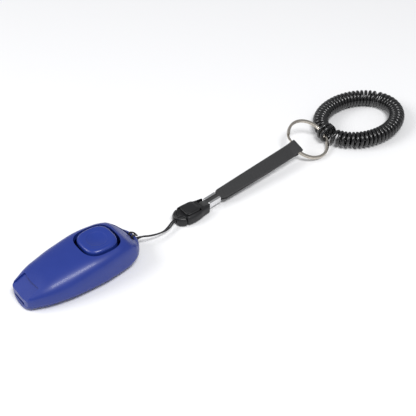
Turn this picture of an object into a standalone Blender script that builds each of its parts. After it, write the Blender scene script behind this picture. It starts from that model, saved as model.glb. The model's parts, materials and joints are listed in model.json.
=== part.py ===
"""Two-in-one dog trainer: a button clicker with a whistle nose, on a wrist lanyard.

The part's frame: +X runs along the case from the whistle's mouth to the lanyard eye, +Z is up, and the
origin is on the flat underside of the case, midway between the mouth and the eye.  All lengths are metres.
"""

import bpy
import bmesh
import math
from mathutils import Matrix, Vector

MM = 0.001

# ---- driving dimensions, in millimetres -------------------------------------------------------------------
GAP = 0.3                       # running gap between neighbours that touch on the real thing
PARTING_Z = 3.2                 # plane where the lower shell meets the upper one
WIDEST_Z = 6.0                  # height at which the case is widest
WALL = 1.8                      # wall thickness of both shells
MOUTH_X = -37.4                 # front face of the whistle's mouth
TAIL_X = 37.2                   # end of the lanyard eye

# The case, station by station: x, half width, top height, underside height.
CASE_STATIONS = (
    (-37.4, 9.1, 10.2, -0.5),
    (-30.0, 12.0, 12.8, -0.5),
    (-22.0, 14.6, 15.6, -0.5),
    (-9.0, 16.7, 18.2, -0.5),
    (6.0, 17.1, 19.5, -0.5),
    (18.0, 15.9, 19.5, -0.5),
    (25.0, 14.6, 18.2, -0.5),
    (30.0, 12.9, 14.4, 3.4),
    (34.0, 9.0, 10.6, 3.4),
    (36.4, 4.8, 9.4, 3.4),
    (37.2, 1.6, 8.4, 4.2),
)
TOP_POWER = 4.1                 # squareness of the case's upper half
BOTTOM_POWER = 3.2              # squareness of its lower half
SECTION_POINTS = 36

BUTTON_X = 12.8
BUTTON_HALF = 10.2
BUTTON_TOP = 20.2
BUTTON_POWER = 2.9
BUTTON_TRAVEL = 1.6
WELL_HALF = 11.6
COLLAR_Z = 15.6                 # underside of the collar that keeps the button in
STOP_Z = 14.1                   # underside of the button's two stop lugs

RECESS_Z = 7.9                  # height of the lip flat at the mouth
RECESS_TILT = 24.5              # how steeply it climbs to its rear wall
SLOT_HALF = 5.0                 # half width of the blow slot
SLOT_HEIGHT = 1.5
BLOCK_X = (-34.6, -27.6)        # the block over the whistle's air way
BLOCK_Z = (5.05, 6.7)
WINDOW_X = (-27.2, -24.4)       # the whistle's sounding window
CHAMBER_END = -9.0

EYE_CENTRE_X = 24.0             # the lanyard slot is an arc about this point
EYE_RADII = (8.9, 11.0)
EYE_ANGLES = (-24.0, 62.0)

SCREW_SPOTS = ((-16.5, 0.0), (25.4, 7.6), (25.4, -7.6))
SCREW_RADIUS = 1.0
SCREW_HEAD = 2.0

BLADE_LENGTH = 24.0
BLADE_WIDTH = 8.0
BLADE_THICKNESS = 0.35
BLADE_Z = 8.6
CLAMP_X = -3.0

CORD_RADIUS = 0.5
CLIP_X = (66.4, 89.2)
CLIP_Y = 1.9
CLIP_HEIGHT = 6.4
CLIP_SPLIT_X = 71.6
CLIP_BAR_X = 86.9
CLIP_BAR_Z = 3.5
CRIMP_X = (89.7, 98.4)

STRAP_WIDTH = 8.7
STRAP_GATHERED = 4.6
STRAP_THICKNESS = 0.8
RING_CENTRE = Vector((176.4, 8.9, 8.05))
RING_RADIUS = 13.9              # to the middle of the wire
RING_TILT = 28.0
RING_LOW_SIDE = -73.0           # compass direction of the ring's lowest point
RING_WIRE = (0.75, 1.05)        # half widths of the two-turn wire: radial, axial
EYE_SHIFT = 0.5                 # the fold's centre sits this far inside the wire, which curves through it
EYE_TURN = 6.5                  # degrees round the ring, from its level side, to the strap's fold
RING_EYE = 2.1                  # inner radius of the strap's fold round the wire

COIL_CENTRE = Vector((221.1, 8.3, 5.4))
COIL_RADII = (27.9, 21.4)       # the oval middle line of the coiled tube
COIL_TUBE = 5.3
COIL_BULGE = 3.0                # how far the ring draws its turns out
COIL_THREAD_ANGLE = 22.0        # where along the ring, from its far side, the coil hangs

# ---- scene ------------------------------------------------------------------------------------------------
for old in list(bpy.data.objects):
    bpy.data.objects.remove(old, do_unlink=True)

parts = bpy.data.collections.new("dog_trainer")
cutters = bpy.data.collections.new("cutters")
bpy.context.scene.collection.children.link(parts)
bpy.context.scene.collection.children.link(cutters)


def material(name, colour, roughness, metallic=0.0):
    mat = bpy.data.materials.new(name)
    mat.use_nodes = True
    shader = mat.node_tree.nodes["Principled BSDF"]
    shader.inputs["Base Color"].default_value = (*colour, 1.0)
    shader.inputs["Roughness"].default_value = roughness
    shader.inputs["Metallic"].default_value = metallic
    return mat


BLUE = material("blue_abs", (0.030, 0.055, 0.300), 0.35)
BUTTON_BLUE = material("button_blue", (0.028, 0.060, 0.320), 0.30)
BLACK = material("black_acetal", (0.012, 0.012, 0.013), 0.40)
COIL_BLACK = material("coil_black", (0.006, 0.006, 0.007), 0.18)
CORD_BLACK = material("cord_black", (0.010, 0.010, 0.011), 0.70)
WEB_BLACK = material("webbing_black", (0.016, 0.016, 0.017), 0.80)
STEEL = material("nickel_steel", (0.62, 0.60, 0.58), 0.18, 1.0)
CRIMP_STEEL = material("crimp_steel", (0.70, 0.70, 0.71), 0.25, 1.0)
SPRING_STEEL = material("spring_steel", (0.45, 0.46, 0.48), 0.30, 1.0)
WHITE = material("whistle_white", (0.70, 0.70, 0.68), 0.45)


# ---- makers -----------------------------------------------------------------------------------------------
def place(name, mesh, look=None):
    """Put a mesh in the parts with its look, or in the cutters when it has none."""
    obj = bpy.data.objects.new(name, mesh)
    if look is None:
        cutters.objects.link(obj)
        obj.hide_render = True
        obj.display_type = 'WIRE'
    else:
        parts.objects.link(obj)
        mesh.materials.append(look)
    return obj


def finish(name, bm, look=None):
    bmesh.ops.recalc_face_normals(bm, faces=bm.faces)
    mesh = bpy.data.meshes.new(name)
    bm.to_mesh(mesh)
    bm.free()
    mesh.shade_smooth()
    mesh.set_sharp_from_angle(angle=math.radians(35))
    return place(name, mesh, look)


def box(name, low, high, look=None):
    bm = bmesh.new()
    size = [(b - a) * MM for a, b in zip(low, high)]
    middle = [(a + b) / 2 * MM for a, b in zip(low, high)]
    bmesh.ops.create_cube(bm, size=1.0, matrix=Matrix.Translation(middle) @ Matrix.Diagonal((*size, 1.0)))
    return finish(name, bm, look)


def cylinder(name, radius, start, end, look=None, sides=24, end_radius=None):
    start, end = Vector(start) * MM, Vector(end) * MM
    axis = end - start
    # The twist keeps the corners off the middle plane, where other shapes have theirs.
    turn = axis.to_track_quat('Z', 'Y').to_matrix().to_4x4() @ Matrix.Rotation(0.07, 4, 'Z')
    bm = bmesh.new()
    bmesh.ops.create_cone(bm, cap_ends=True, segments=sides, radius1=radius * MM,
                          radius2=(radius if end_radius is None else end_radius) * MM,
                          depth=axis.length, matrix=Matrix.Translation((start + end) / 2) @ turn)
    return finish(name, bm, look)


def loft(name, rings, look=None, closed=False):
    """Skin a list of point rings; the ends are capped unless the loft runs back into itself."""
    bm = bmesh.new()
    rows = [[bm.verts.new(Vector(p) * MM) for p in ring] for ring in rings]
    count = len(rows[0])
    pairs = list(zip(rows, rows[1:] + rows[:1])) if closed else list(zip(rows, rows[1:]))
    for a, b in pairs:
        for i in range(count):
            j = (i + 1) % count
            bm.faces.new((a[i], a[j], b[j], b[i]))
    if not closed:
        bm.faces.new(rows[0])
        bm.faces.new(rows[-1])
    return finish(name, bm, look)


def slab(name, outline, low, high, look=None):
    """A flat outline in X and Y, raised from one height to another."""
    curve = bpy.data.curves.new(name, 'CURVE')
    curve.dimensions = '2D'
    curve.fill_mode = 'BOTH'
    curve.extrude = (high - low) / 2 * MM
    spline = curve.splines.new('POLY')
    spline.points.add(len(outline) - 1)
    spline.use_cyclic_u = True
    for point, (x, y) in zip(spline.points, outline):
        point.co = (x * MM, y * MM, 0.0, 1.0)
    return curve_to_mesh(name, curve, look, Vector((0.0, 0.0, (low + high) / 2 * MM)))


def tube(name, points, radius, look=None, cyclic=False, resolution=2, scales=None):
    curve = bpy.data.curves.new(name, 'CURVE')
    curve.dimensions = '3D'
    curve.bevel_depth = radius * MM
    curve.bevel_resolution = resolution
    curve.use_fill_caps = not cyclic
    spline = curve.splines.new('POLY')
    spline.points.add(len(points) - 1)
    spline.use_cyclic_u = cyclic
    for i, point in enumerate(points):
        spline.points[i].co = (*(Vector(point) * MM), 1.0)
        spline.points[i].radius = scales[i] if scales else 1.0
    return curve_to_mesh(name, curve, look, Vector())


def curve_to_mesh(name, curve, look, shift):
    temporary = bpy.data.objects.new(name + "_curve", curve)
    bpy.context.scene.collection.objects.link(temporary)
    bpy.context.view_layer.update()
    graph = bpy.context.evaluated_depsgraph_get()
    mesh = bpy.data.meshes.new_from_object(temporary.evaluated_get(graph))
    bpy.data.objects.remove(temporary, do_unlink=True)
    mesh.name = name
    bm = bmesh.new()
    bm.from_mesh(mesh)
    bpy.data.meshes.remove(mesh)
    bmesh.ops.remove_doubles(bm, verts=bm.verts, dist=1e-6)
    bmesh.ops.translate(bm, verts=bm.verts, vec=shift)
    return finish(name, bm, look)


def boolean(obj, other, operation='DIFFERENCE'):
    modifier = obj.modifiers.new(operation.lower() + "_" + other.name, 'BOOLEAN')
    modifier.operation = operation
    modifier.solver = 'EXACT'
    modifier.object = other


def bevel(obj, width, segments=2, angle=35.0):
    modifier = obj.modifiers.new("rounded_edges", 'BEVEL')
    modifier.width = width * MM
    modifier.segments = segments
    modifier.limit_method = 'ANGLE'
    modifier.angle_limit = math.radians(angle)


def set_origin(obj, point):
    """Move an object's origin to a point of the part, leaving its shape where it is."""
    point = Vector(point) * MM
    obj.data.transform(Matrix.Translation(-point))
    obj.location = point


def smooth_value(stations, x, column):
    """Read a station table through a smooth curve that doesn't overshoot."""
    xs = [row[0] for row in stations]
    ys = [row[column] for row in stations]
    if x <= xs[0]:
        return ys[0]
    if x >= xs[-1]:
        return ys[-1]
    slopes = [(b - a) / (d - c) for a, b, c, d in zip(ys, ys[1:], xs, xs[1:])]
    tangents = [slopes[0]]
    for before, after in zip(slopes, slopes[1:]):
        tangents.append(0.0 if before * after <= 0 else 2 * before * after / (before + after))
    tangents.append(slopes[-1])
    i = max(k for k in range(len(xs) - 1) if xs[k] <= x)
    width = xs[i + 1] - xs[i]
    t = (x - xs[i]) / width
    return (ys[i] * (1 + 2 * t) * (1 - t) ** 2 + tangents[i] * width * t * (1 - t) ** 2
            + ys[i + 1] * t * t * (3 - 2 * t) + tangents[i + 1] * width * t * t * (t - 1))


def smooth_route(points, spacing):
    """Points at an even spacing on a Catmull-Rom curve through a cord's own points."""
    points = [Vector(p) for p in points]
    ends = [2 * points[0] - points[1]] + points + [2 * points[-1] - points[-2]]
    fine = []
    for a, b, c, d in zip(ends, ends[1:], ends[2:], ends[3:]):
        for k in range(16):
            t = k / 16
            fine.append(0.5 * (2 * b + (c - a) * t + (2 * a - 5 * b + 4 * c - d) * t * t
                               + (3 * b - a - 3 * c + d) * t ** 3))
    fine.append(points[-1])
    route = [fine[0]]
    travelled = 0.0
    for a, b in zip(fine, fine[1:]):
        travelled += (b - a).length
        if travelled >= spacing:
            route.append(b)
            travelled = 0.0
    if (route[-1] - fine[-1]).length < spacing / 2:
        route.pop()
    route.append(fine[-1])
    return route


def power(value, exponent):
    return math.copysign(abs(value) ** exponent, value)


def squircle(half, exponent, count=40, centre=(0.0, 0.0)):
    """A rounded square: a circle at exponent 2, squarer above it."""
    corners = []
    for i in range(count):
        angle = 2 * math.pi * i / count
        corners.append((centre[0] + half * power(math.cos(angle), 2 / exponent),
                        centre[1] + half * power(math.sin(angle), 2 / exponent)))
    return corners


# ---- the case ---------------------------------------------------------------------------------------------
def case_section(x, inset=0.0, shift=0.0):
    """One cross-section of the case, drawn in by an inset on every side."""
    half = smooth_value(CASE_STATIONS, x, 1) - inset
    top = smooth_value(CASE_STATIONS, x, 2) - inset
    bottom = smooth_value(CASE_STATIONS, x, 3) + inset
    ring = []
    for i in range(SECTION_POINTS):
        angle = 2 * math.pi * i / SECTION_POINTS
        upper = math.sin(angle) >= 0
        exponent = 2 / (TOP_POWER if upper else BOTTOM_POWER)
        y = half * power(math.cos(angle), exponent)
        reach = (top - WIDEST_Z) if upper else (WIDEST_Z - bottom)
        z = WIDEST_Z + reach * power(math.sin(angle), exponent)
        front = max(0.0, (-28.0 - x) / 8.5)
        ring.append((x + shift + 0.014 * y * y * front, y, z))
    return ring


def case_body(name, look=None, inset=0.0):
    """The closed outer form, with the mouth's edges rounded over."""
    rings = [case_section(MOUTH_X, inset + 1.3), case_section(MOUTH_X, inset + 0.5, 0.35),
             case_section(MOUTH_X, inset, 1.1)]
    x = MOUTH_X + 3.0
    while x < 28.0:
        rings.append(case_section(x, inset))
        x += 2.6
    for x in (28.0, 29.5, 31.0, 32.5, 34.0, 35.2, 36.1, 36.8, TAIL_X):
        rings.append(case_section(x, inset))
    return loft(name, rings, look)


def case_cavity(name):
    """The hollow inside the shells, from behind the whistle block to in front of the lanyard eye."""
    rings = [case_section(x, WALL) for x in (-21.5, -19.0, -15.0, -9.0, -3.0, 3.0, 9.0, 15.0, 20.0, 24.0, 27.0)]
    return loft(name, rings)


def build_case():
    inner_skin = case_body("case_skin", inset=0.12)
    cavity = case_cavity("case_cavity")
    below = box("below_parting", (-60, -40, -20), (60, 40, PARTING_Z + GAP))
    above = box("above_parting", (-60, -40, PARTING_Z), (60, 40, 60))
    under = box("under_floor", (-60, -40, -20), (60, 40, 0.0))
    behind = box("behind_tray", (29.2, -40, -20), (60, 40, 60))
    well_centre = (BUTTON_X, 0.0)

    collar = slab("button_collar", squircle(WELL_HALF + 1.4, BUTTON_POWER, centre=well_centre),
                  COLLAR_Z, 30.0)
    boolean(collar, inner_skin, 'INTERSECT')
    bosses = []
    for i, (x, y) in enumerate(SCREW_SPOTS):
        top = smooth_value(CASE_STATIONS, x, 2) - WALL * 0.6 - (2.4 if y else 0.0)
        bosses.append(cylinder("boss_%d" % (i + 1), 2.6, (x, y, PARTING_Z - 1), (x, y, top)))

    upper = case_body("upper_shell", BLUE)
    boolean(upper, cavity)
    boolean(upper, collar, 'UNION')
    for boss in bosses:
        boolean(upper, boss, 'UNION')
    boolean(upper, below)
    boolean(upper, slab("button_well", squircle(WELL_HALF, BUTTON_POWER, centre=well_centre), 12.0, 32.0))
    boolean(upper, lanyard_slot())
    boolean(upper, lip_recess())
    boolean(upper, box("blow_slot", (-42, -SLOT_HALF, -2), (-30, SLOT_HALF, PARTING_Z + GAP + SLOT_HEIGHT)))
    boolean(upper, box("block_pocket", (BLOCK_X[0] - GAP, -SLOT_HALF, -2), (-20, SLOT_HALF, BLOCK_Z[1] + GAP)))
    for i, (x, y) in enumerate(SCREW_SPOTS):
        boolean(upper, cylinder("pilot_%d" % (i + 1), SCREW_RADIUS + 0.15, (x, y, -2), (x, y, 10.6), sides=16))

    lower = case_body("lower_shell", BLUE)
    boolean(lower, above)
    boolean(lower, under)
    boolean(lower, behind)
    boolean(lower, box("tray_hollow", (-21.5, -10.5, 1.6), (19.5, 10.5, 9.0)))
    boolean(lower, box("sound_window", (WINDOW_X[0], -SLOT_HALF, -3), (WINDOW_X[1], SLOT_HALF, 9)))
    for i, (x, y) in enumerate(SCREW_SPOTS):
        if not y:
            boolean(lower, cylinder("screw_pad_%d" % (i + 1), 3.4, (x, y, 1.0), (x, y, PARTING_Z)), 'UNION')
        boolean(lower, cylinder("screw_way_%d" % (i + 1), SCREW_RADIUS + 0.3, (x, y, -2), (x, y, 8), sides=16))
        boolean(lower, cylinder("screw_seat_%d" % (i + 1), SCREW_HEAD + 0.3, (x, y, -2), (x, y, 1.6), sides=24))


def lanyard_slot():
    """The curved slot that leaves a bar at the end of the case for the cord."""
    inner, outer = EYE_RADII
    middle, half = (inner + outer) / 2, (outer - inner) / 2
    start, end = (math.radians(a) for a in EYE_ANGLES)
    outline = []
    for k in range(17):
        angle = start + (end - start) * k / 16
        outline.append((EYE_CENTRE_X + outer * math.cos(angle), outer * math.sin(angle)))
    for k in range(1, 6):
        turn = end + math.pi * k / 6
        outline.append((EYE_CENTRE_X + middle * math.cos(end) + half * math.cos(turn),
                        middle * math.sin(end) + half * math.sin(turn)))
    for k in range(17):
        angle = end + (start - end) * k / 16
        outline.append((EYE_CENTRE_X + inner * math.cos(angle), inner * math.sin(angle)))
    for k in range(1, 6):
        turn = start + math.pi + math.pi * k / 6
        outline.append((EYE_CENTRE_X + middle * math.cos(start) + half * math.cos(turn),
                        middle * math.sin(start) + half * math.sin(turn)))
    return slab("lanyard_slot", outline, -5.0, 32.0)


def lip_recess():
    """The flat that lets the lips close on the mouthpiece, with its low rear wall."""
    near = [(-45.0, -9.8), (-34.0, -8.0), (-27.7, -7.7), (-27.1, -7.1), (-27.3, -5.0), (-27.6, -2.5)]
    outline = near + [(-27.8, 0.0)] + [(x, -y) for x, y in reversed(near)]
    recess = slab("lip_recess", outline, 0.0, 20.0)
    mouth = Matrix.Translation((MOUTH_X * MM, 0.0, 0.0))
    tilt = Matrix.Rotation(-math.radians(RECESS_TILT), 4, 'Y')
    recess.data.transform(Matrix.Translation((0.0, 0.0, RECESS_Z * MM)) @ mouth @ tilt @ mouth.inverted())
    return recess


# ---- the button and the clicking blade --------------------------------------------------------------------
def build_button():
    """A rounded-square cap with a thumb dimple, two lugs that keep it in, and a pusher under it."""
    levels = (
        (BUTTON_HALF, STOP_Z, BUTTON_POWER), (BUTTON_HALF, BUTTON_TOP - 1.3, BUTTON_POWER),
        (BUTTON_HALF - 0.35, BUTTON_TOP - 0.55, BUTTON_POWER), (BUTTON_HALF - 1.0, BUTTON_TOP - 0.1, 3.2),
        (BUTTON_HALF - 1.8, BUTTON_TOP, 2.6), (BUTTON_HALF - 2.6, BUTTON_TOP - 0.2, 2.2),
        (BUTTON_HALF - 4.2, BUTTON_TOP - 0.75, 2.0), (BUTTON_HALF - 6.0, BUTTON_TOP - 1.1, 2.0),
        (BUTTON_HALF - 7.8, BUTTON_TOP - 1.25, 2.0),
    )
    rings = []
    for half, z, exponent in levels:
        rings.append([(x, y, z) for x, y in squircle(half, exponent, 36, (BUTTON_X, 0.0))])
    button = loft("click_button", rings, BUTTON_BLUE)
    pusher = cylinder("pusher", 2.2, (BUTTON_X, 0, BLADE_Z + BUTTON_TRAVEL + 0.1), (BUTTON_X, 0, STOP_Z + 0.6))
    boolean(button, pusher, 'UNION')
    boolean(button, box("stop_lugs", (BUTTON_X - 4, -12.6, STOP_Z + 0.02),
                        (BUTTON_X + 4, 12.6, STOP_Z + 1.1)), 'UNION')
    for side in (-1, 1):
        low, high = sorted((2.9 * side, 6.6 * side))
        boolean(button, box("cap_hollow", (BUTTON_X - 6, low, 10), (BUTTON_X + 6, high, BUTTON_TOP - 2.7)))
    set_origin(button, (BUTTON_X, 0, STOP_Z))


def build_blade():
    """The bent spring-steel leaf that snaps over centre, and the clamp and screw that hold its root."""
    profile = []
    for k in range(13):
        s = k / 12
        arch = 0.9 * math.sin(math.pi * s)
        profile.append((CLAMP_X - 3.0 + BLADE_LENGTH * s, BLADE_Z - 1.0 + arch))
    rings = []
    for x, z in profile:
        half = BLADE_WIDTH / 2
        dish = 0.0 if x < CLAMP_X + 4 else 0.35
        rings.append([(x, -half, z), (x, 0.0, z + dish), (x, half, z),
                      (x, half, z + BLADE_THICKNESS), (x, 0.0, z + BLADE_THICKNESS + dish),
                      (x, -half, z + BLADE_THICKNESS)])
    blade = loft("click_blade", rings, SPRING_STEEL)
    boolean(blade, cylinder("blade_hole", 1.25, (CLAMP_X, 0, 4), (CLAMP_X, 0, 12), sides=16))
    clamp = box("blade_clamp", (CLAMP_X - 3.4, -5.0, 1.9), (CLAMP_X + 3.4, 5.0, BLADE_Z - 1.35), BLACK)
    bevel(clamp, 0.4, 1)
    boolean(clamp, cylinder("clamp_way", 1.2, (CLAMP_X, 0, -2), (CLAMP_X, 0, 12), sides=16))
    screw("clamp_screw", (CLAMP_X, 0.0), BLADE_Z + 1.55, 2.4, -1.0)


def screw(name, spot, head_z, tip_z, direction=1.0):
    """A pan-head screw: the head's outer face at one height, the tip at another."""
    x, y = spot
    head = 1.0 * direction
    shank = cylinder(name, SCREW_RADIUS - 0.1, (x, y, head_z + head * 0.5), (x, y, tip_z), STEEL, sides=16)
    cap = cylinder(name + "_head", SCREW_HEAD, (x, y, head_z), (x, y, head_z + head), sides=24)
    boolean(shank, cap, 'UNION')
    for i, (half_x, half_y) in enumerate(((1.2, 0.25), (0.25, 1.2))):
        low = min(head_z - head, head_z + head * 0.45)
        high = max(head_z - head, head_z + head * 0.45)
        boolean(shank, box("%s_cross_%d" % (name, i), (x - half_x, y - half_y, low),
                           (x + half_x, y + half_y, high)))


def build_whistle():
    """The block that makes the air slot, and the wedge that closes the sounding chamber."""
    block = box("whistle_block", (BLOCK_X[0], -SLOT_HALF + GAP, BLOCK_Z[0]),
                (BLOCK_X[1], SLOT_HALF - GAP, BLOCK_Z[1]), WHITE)
    bevel(block, 0.2, 1)
    plug = box("whistle_plug", (CHAMBER_END - 1.6, -8.6, 4.2), (CHAMBER_END, 8.6, 13.4), BLUE)
    bevel(plug, 0.5, 2)


# ---- the thin cord ----------------------------------------------------------------------------------------
# Half of the hitch round the end bar: under the bar, up the slot, over the top and across to the middle.
HITCH_HALF = ((38.6, -0.75, 5.6), (38.3, -0.95, 4.3), (37.2, -1.15, 2.9), (35.4, -1.25, 2.4),
              (33.95, -1.3, 3.6), (33.85, -1.35, 6.4), (33.95, -1.4, 9.6), (34.9, -1.45, 11.35),
              (36.5, -1.5, 11.2), (38.0, -1.35, 10.2), (38.9, -0.75, 9.3))
STRAND_ROUTE = ((38.6, 0.0, 5.6), (41.8, -0.7, 5.7), (46.0, -1.9, 4.8), (51.0, -2.5, 3.9), (56.0, -2.1, 3.1),
                (60.5, -0.7, 2.9), (64.0, 1.0, 3.1), (67.4, 1.9, 3.2))
STRAND_SPREAD = (0.75, 0.70, 0.62, 0.62, 0.95, 1.10, 0.75, 0.62)


def build_cord():
    hitch = [Vector(p) for p in HITCH_HALF]
    mirrored = [Vector((p.x, -p.y, p.z)) for p in reversed(hitch)]
    tube("cord_hitch", smooth_route(hitch + mirrored, 1.1), CORD_RADIUS, CORD_BLACK)
    for name, side in (("cord_strand_near", -1.0), ("cord_strand_far", 1.0)):
        points = []
        for (x, y, z), spread in zip(STRAND_ROUTE, STRAND_SPREAD):
            points.append((x, y + side * spread, z))
        first = Vector(points[0])
        points[0] = first + (Vector(points[1]) - first).normalized() * (GAP + 0.5)
        tube(name, smooth_route(points, 1.3), CORD_RADIUS, CORD_BLACK)
    bm = bmesh.new()
    bmesh.ops.create_uvsphere(bm, u_segments=16, v_segments=10, radius=1.35 * MM,
                              matrix=Matrix.Translation(Vector((69.4, CLIP_Y - 0.2, 3.2)) * MM))
    finish("cord_knot", bm, CORD_BLACK)


# ---- the quick-release clip -------------------------------------------------------------------------------
CLIP_STATIONS = ((66.4, 2.6), (67.4, 4.1), (69.4, 5.6), (73.0, 6.7), (77.0, 6.9), (81.0, 6.4), (84.0, 5.5),
                 (87.0, 5.0), (88.4, 4.8), (89.2, 4.5))


def clip_body(name, start, end, height, rounding, look=None):
    """A length of the clip: rounded-box sections that follow its waisted outline."""
    rings = []
    stations = [(start, rounding)] + [(start + (end - start) * k / 12, 0.0) for k in range(1, 12)] + [(end, rounding)]
    for x, inset in stations:
        half = smooth_value(CLIP_STATIONS, x, 1) - inset
        middle, rise = height / 2, height / 2 - inset * 0.7
        ring = []
        for y, z in squircle(1.0, 5.0, 32):
            ring.append((x, CLIP_Y + half * y, middle + rise * z))
        rings.append(ring)
    return loft(name, rings, look)


def build_clip():
    plug = clip_body("clip_plug", CLIP_X[0], CLIP_SPLIT_X - GAP / 2, CLIP_HEIGHT - 0.6, 0.7, BLACK)
    tongue = slab("clip_tongue", squircle(4.5, 5.0, 32, (77.6, CLIP_Y)), 2.2, CLIP_HEIGHT + 0.2)
    bevel(tongue, 0.7, 2)
    neck = box("clip_neck", (70.0, CLIP_Y - 3.4, 2.45), (76.0, CLIP_Y + 3.4, CLIP_HEIGHT - 1.5))
    boolean(plug, tongue, 'UNION')
    boolean(plug, neck, 'UNION')
    boolean(plug, cylinder("knot_pocket", 1.9, (69.4, CLIP_Y - 0.2, -1), (69.4, CLIP_Y - 0.2, 4.85)))
    boolean(plug, box("cord_way", (60, CLIP_Y - 1.8, 2.1), (69.4, CLIP_Y + 1.4, 4.3)))

    socket = clip_body("clip_socket", CLIP_SPLIT_X + GAP / 2, CLIP_X[1], CLIP_HEIGHT, 0.5, BLACK)
    boolean(socket, box("tongue_way", (60, CLIP_Y - 4.85, 1.8), (82.5, CLIP_Y + 4.85, 20)))
    boolean(socket, box("strap_way", (84.2, CLIP_Y - 3.5, -2), (95, CLIP_Y + 3.5, 20)))
    bar = cylinder("clip_bar", 0.9, (CLIP_BAR_X, CLIP_Y - 4.1, CLIP_BAR_Z), (CLIP_BAR_X, CLIP_Y + 4.1, CLIP_BAR_Z),
                   sides=16)
    boolean(socket, bar, 'UNION')
    for i, x in enumerate((74.6, 76.9, 79.2)):
        edge = CLIP_Y + smooth_value(CLIP_STATIONS, x, 1) + 0.4
        boolean(socket, cylinder("grip_notch_%d" % i, 0.9, (x, edge, -1), (x, edge, 8), sides=16))


# ---- the webbing strap and its crimp ----------------------------------------------------------------------
def ring_axes():
    """Unit vectors of the ring: towards its lowest point, across it in the level, and its normal."""
    tilt, side = math.radians(RING_TILT), math.radians(RING_LOW_SIDE)
    low = Vector((math.cos(side) * math.cos(tilt), math.sin(side) * math.cos(tilt), -math.sin(tilt)))
    across = Vector((-math.sin(side), math.cos(side), 0.0))
    return low, across, low.cross(across).normalized()


def eye_point():
    """Centre of the strap's fold round the ring, the way out of the ring's middle there, and the wire's way."""
    low, across, _ = ring_axes()
    turn = math.radians(EYE_TURN)
    outward = across * math.cos(turn) + low * math.sin(turn)
    return RING_CENTRE - outward * (RING_RADIUS - EYE_SHIFT), outward, low * math.cos(turn) - across * math.sin(turn)


def strap_frame(s):
    """Centre, width direction and thickness direction of the strap, from the clip's bar (0) to the ring (1)."""
    end, outward, wire = eye_point()
    start = Vector((CLIP_BAR_X, CLIP_Y, CLIP_BAR_Z))
    run = (end - start).length
    lead_in = (end - start).normalized()
    lead_out = (outward + lead_in).normalized()
    ease = s * s * (3 - 2 * s)
    centre = (start * (1 + 2 * s) * (1 - s) ** 2 + lead_in * run * s * (1 - s) ** 2
              + end * s * s * (3 - 2 * s) + lead_out * run * s * s * (s - 1))
    along = lead_in.lerp(outward, ease ** 3).normalized()
    width = Vector((0.0, 1.0, 0.0)).lerp(-wire, ease)
    width = (width - along * width.dot(along)).normalized()
    return centre, width, along.cross(width).normalized(), run


def strap_half_width(s, run):
    """Half width of the webbing: gathered in the crimp, full soon after it."""
    x = CLIP_BAR_X + s * run
    spread = min(1.0, max(0.0, (x - CRIMP_X[1] - 0.2) / 15.0)) ** 0.55
    return (STRAP_GATHERED + (STRAP_WIDTH - STRAP_GATHERED) * spread) / 2


def build_strap():
    """A closed belt of webbing: two layers, folded round the clip's bar and round the split ring."""
    run = strap_frame(0.5)[3]
    t = STRAP_THICKNESS
    apart = 0.25 + t / 2
    bar_fold, ring_fold = 1.2 + t / 2, RING_EYE + t / 2
    profile = []
    for k in range(13):
        angle = math.radians(90 + 180 * k / 12)
        profile.append((bar_fold * math.cos(angle), bar_fold * math.sin(angle)))
    profile.append((1.9, -apart - 0.2))
    for k in range(31):
        profile.append((3.2 + (run - 8.4) * k / 30, -apart))
    profile.append((run - 3.2, -apart - 0.9))
    for k in range(17):
        angle = math.radians(-112 + 224 * k / 16)
        profile.append((run + ring_fold * math.cos(angle), ring_fold * math.sin(angle)))
    profile.append((run - 3.2, apart + 0.9))
    for k in range(31):
        profile.append((run - 5.2 - (run - 8.4) * k / 30, apart))
    profile.append((1.9, apart + 0.2))
    rings = []
    count = len(profile)
    for i, (u, v) in enumerate(profile):
        before, after = profile[i - 1], profile[(i + 1) % count]
        tangent = Vector((after[0] - before[0], after[1] - before[1])).normalized()
        normal = Vector((-tangent.y, tangent.x))
        ring = []
        for side, layer in ((-1, -1), (1, -1), (1, 1), (-1, 1)):
            a, b = u + normal.x * t / 2 * layer, v + normal.y * t / 2 * layer
            s = min(1.0, max(0.0, a / run))
            centre, width, thick, _ = strap_frame(s)
            along = width.cross(thick).normalized()
            excess = a - s * run
            ring.append(centre + along * excess + width * side * strap_half_width(s, run) + thick * b)
        rings.append(ring)
    loft("strap", rings, WEB_BLACK, closed=True)


def build_crimp():
    """A strip of bright steel folded round the gathered webbing, its two lips on top."""
    inside_y, inside_z, wall = STRAP_GATHERED / 2 + GAP, STRAP_THICKNESS + 0.25 + GAP, 0.5
    lip = 1.5
    rings = []
    outline = (
        (-lip, inside_z), (-lip, inside_z + wall), (-(inside_y + wall), inside_z + wall),
        (-(inside_y + wall), -(inside_z + wall)), (inside_y + wall, -(inside_z + wall)),
        (inside_y + wall, inside_z + wall), (lip, inside_z + wall), (lip, inside_z),
        (inside_y, inside_z), (inside_y, -inside_z), (-inside_y, -inside_z), (-inside_y, inside_z),
    )
    for x in CRIMP_X:
        centre, width, thick, run = strap_frame((x - CLIP_BAR_X) / strap_frame(0.5)[3])
        rings.append([centre + width * y + thick * z for y, z in outline])
    crimp = loft("strap_crimp", rings, CRIMP_STEEL)
    bevel(crimp, 0.16, 1)


# ---- the split ring and the wrist coil --------------------------------------------------------------------
def ring_matrix():
    low, across, normal = ring_axes()
    turn = Matrix((across, low, normal)).transposed().to_4x4()
    if turn.determinant() < 0:
        turn = Matrix((across, low, -normal)).transposed().to_4x4()
    return Matrix.Translation(RING_CENTRE * MM) @ turn


def turned_ring(name, radius, profile, look=None, steps=64):
    """A closed profile of (radial, axial) points swept once round the ring's axis."""
    rings = []
    for k in range(steps):
        angle = 2 * math.pi * k / steps
        rings.append([((radius + r) * math.cos(angle), (radius + r) * math.sin(angle), h) for r, h in profile])
    ring = loft(name, rings, look, closed=True)
    ring.data.transform(ring_matrix())
    return ring


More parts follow.
